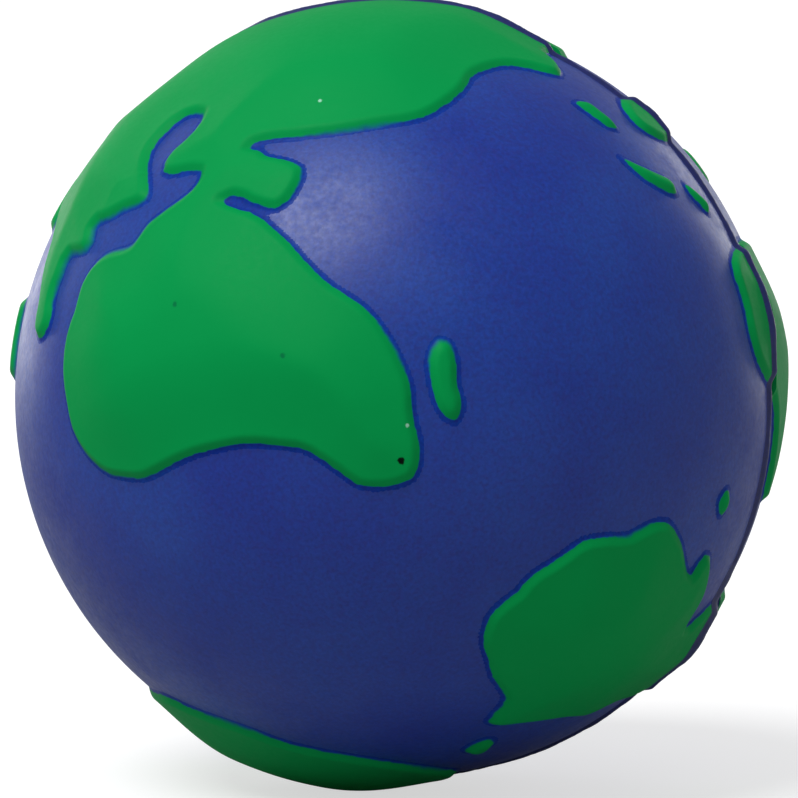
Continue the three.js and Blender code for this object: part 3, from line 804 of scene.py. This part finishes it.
# %% The floor
floor_mesh = bpy.data.meshes.new("floor")
ground_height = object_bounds()[0][2]
reach = 4.0
floor_corners = [(x * reach, y * reach, ground_height)
                 for x, y in ((-1, -1), (1, -1), (1, 1), (-1, 1))]
floor_mesh.from_pydata(floor_corners, [], [(0, 1, 2, 3)])
floor = bpy.data.objects.new("floor", floor_mesh)
root.objects.link(floor)
floor_finish, tree, surface = start_material("pale studio floor")
seen = add(tree, "ShaderNodeLightPath").outputs["Is Camera Ray"]
pale = add(tree, "ShaderNodeMapRange", {"Value": seen, "To Min": 0.45, "To Max": 0.5})
glow = add(tree, "ShaderNodeMath", {0: seen, 1: 0.62}, operation="MULTIPLY")
tree.links.new(pale.outputs[0], surface.inputs["Base Color"])
tree.links.new(glow.outputs[0], surface.inputs["Emission Strength"])
surface.inputs["Emission Color"].default_value = (1.0, 1.0, 1.0, 1.0)
surface.inputs["Roughness"].default_value = 0.9
surface.inputs["Specular IOR Level"].default_value = 0.0
floor_mesh.materials.append(floor_finish)
print(f"floor at {ground_height / MM:.2f} mm")

# %% The camera
AZIMUTH, ELEVATION, CAMERA_DISTANCE = math.radians(14.07), math.radians(5.23), 0.6
SENSOR_WIDTH, LENS = 36.0, 306.7   # millimetres
back = Vector((math.sin(AZIMUTH) * math.cos(ELEVATION), -math.cos(AZIMUTH) * math.cos(ELEVATION),
               math.sin(ELEVATION)))
right = Vector((math.cos(AZIMUTH), math.sin(AZIMUTH), 0.0))
up = back.cross(right)
camera = bpy.data.objects.new("camera", bpy.data.cameras.new("camera"))
root.objects.link(camera)
camera.location = back * CAMERA_DISTANCE
camera.rotation_mode = "QUATERNION"
camera.rotation_quaternion = (-back).to_track_quat("-Z", "Y")
camera.data.sensor_width, camera.data.lens = SENSOR_WIDTH, LENS
camera.data.shift_x, camera.data.shift_y = 0.0048, -0.0025
camera.data.clip_start, camera.data.clip_end = 0.01, 20.0
bpy.context.scene.camera = camera
print(f"camera {CAMERA_DISTANCE} m from the ball's centre")

# %% The lights
def soft_box(name, towards, distance, size, watts):
    """An area light, size[0] wide and size[1] tall, that looks at the ball. Its direction is given as
    right, up and towards the camera."""
    lamp = bpy.data.lights.new(name, "AREA")
    lamp.shape, lamp.size, lamp.size_y, lamp.energy = "RECTANGLE", size[0], size[1], watts
    placed = bpy.data.objects.new(name, lamp)
    root.objects.link(placed)
    direction = (right * towards[0] + up * towards[1] + back * towards[2]).normalized()
    placed.location = direction * distance
    placed.rotation_mode = "QUATERNION"
    placed.rotation_quaternion = (-direction).to_track_quat("-Z", "Y")
    placed.visible_camera = False
    print(f"{name}: {watts} W, {distance} m away")


KEY_STRENGTH, KEY_SPREAD = 2.2, math.radians(33)
key = bpy.data.lights.new("key_softbox", "SUN")
key.energy, key.angle = KEY_STRENGTH, KEY_SPREAD
key_lamp = bpy.data.objects.new("key_softbox", key)
root.objects.link(key_lamp)
key_lamp.rotation_mode = "QUATERNION"
key_lamp.rotation_quaternion = (right * -0.37 + up * 0.80 + back * 0.47).to_track_quat("Z", "Y")
soft_box("left_panel", (-0.5, 0.08, -0.86), 0.8, (0.3, 0.9), 2.7)
soft_box("right_panel", (0.5, 0.0, -0.87), 0.8, (0.14, 0.8), 1.8)

world = bpy.data.worlds.new("studio")
bpy.context.scene.world = world
world.use_nodes = True
sky = world.node_tree.nodes["Background"]
seen = add(world.node_tree, "ShaderNodeLightPath").outputs["Is Camera Ray"]
shine = add(world.node_tree, "ShaderNodeMapRange", {"Value": seen, "To Min": 0.32, "To Max": 1.0})
sky.inputs["Color"].default_value = (1.0, 1.0, 1.0, 1.0)
world.node_tree.links.new(shine.outputs[0], sky.inputs["Strength"])
bpy.context.scene.view_settings.view_transform = "Standard"
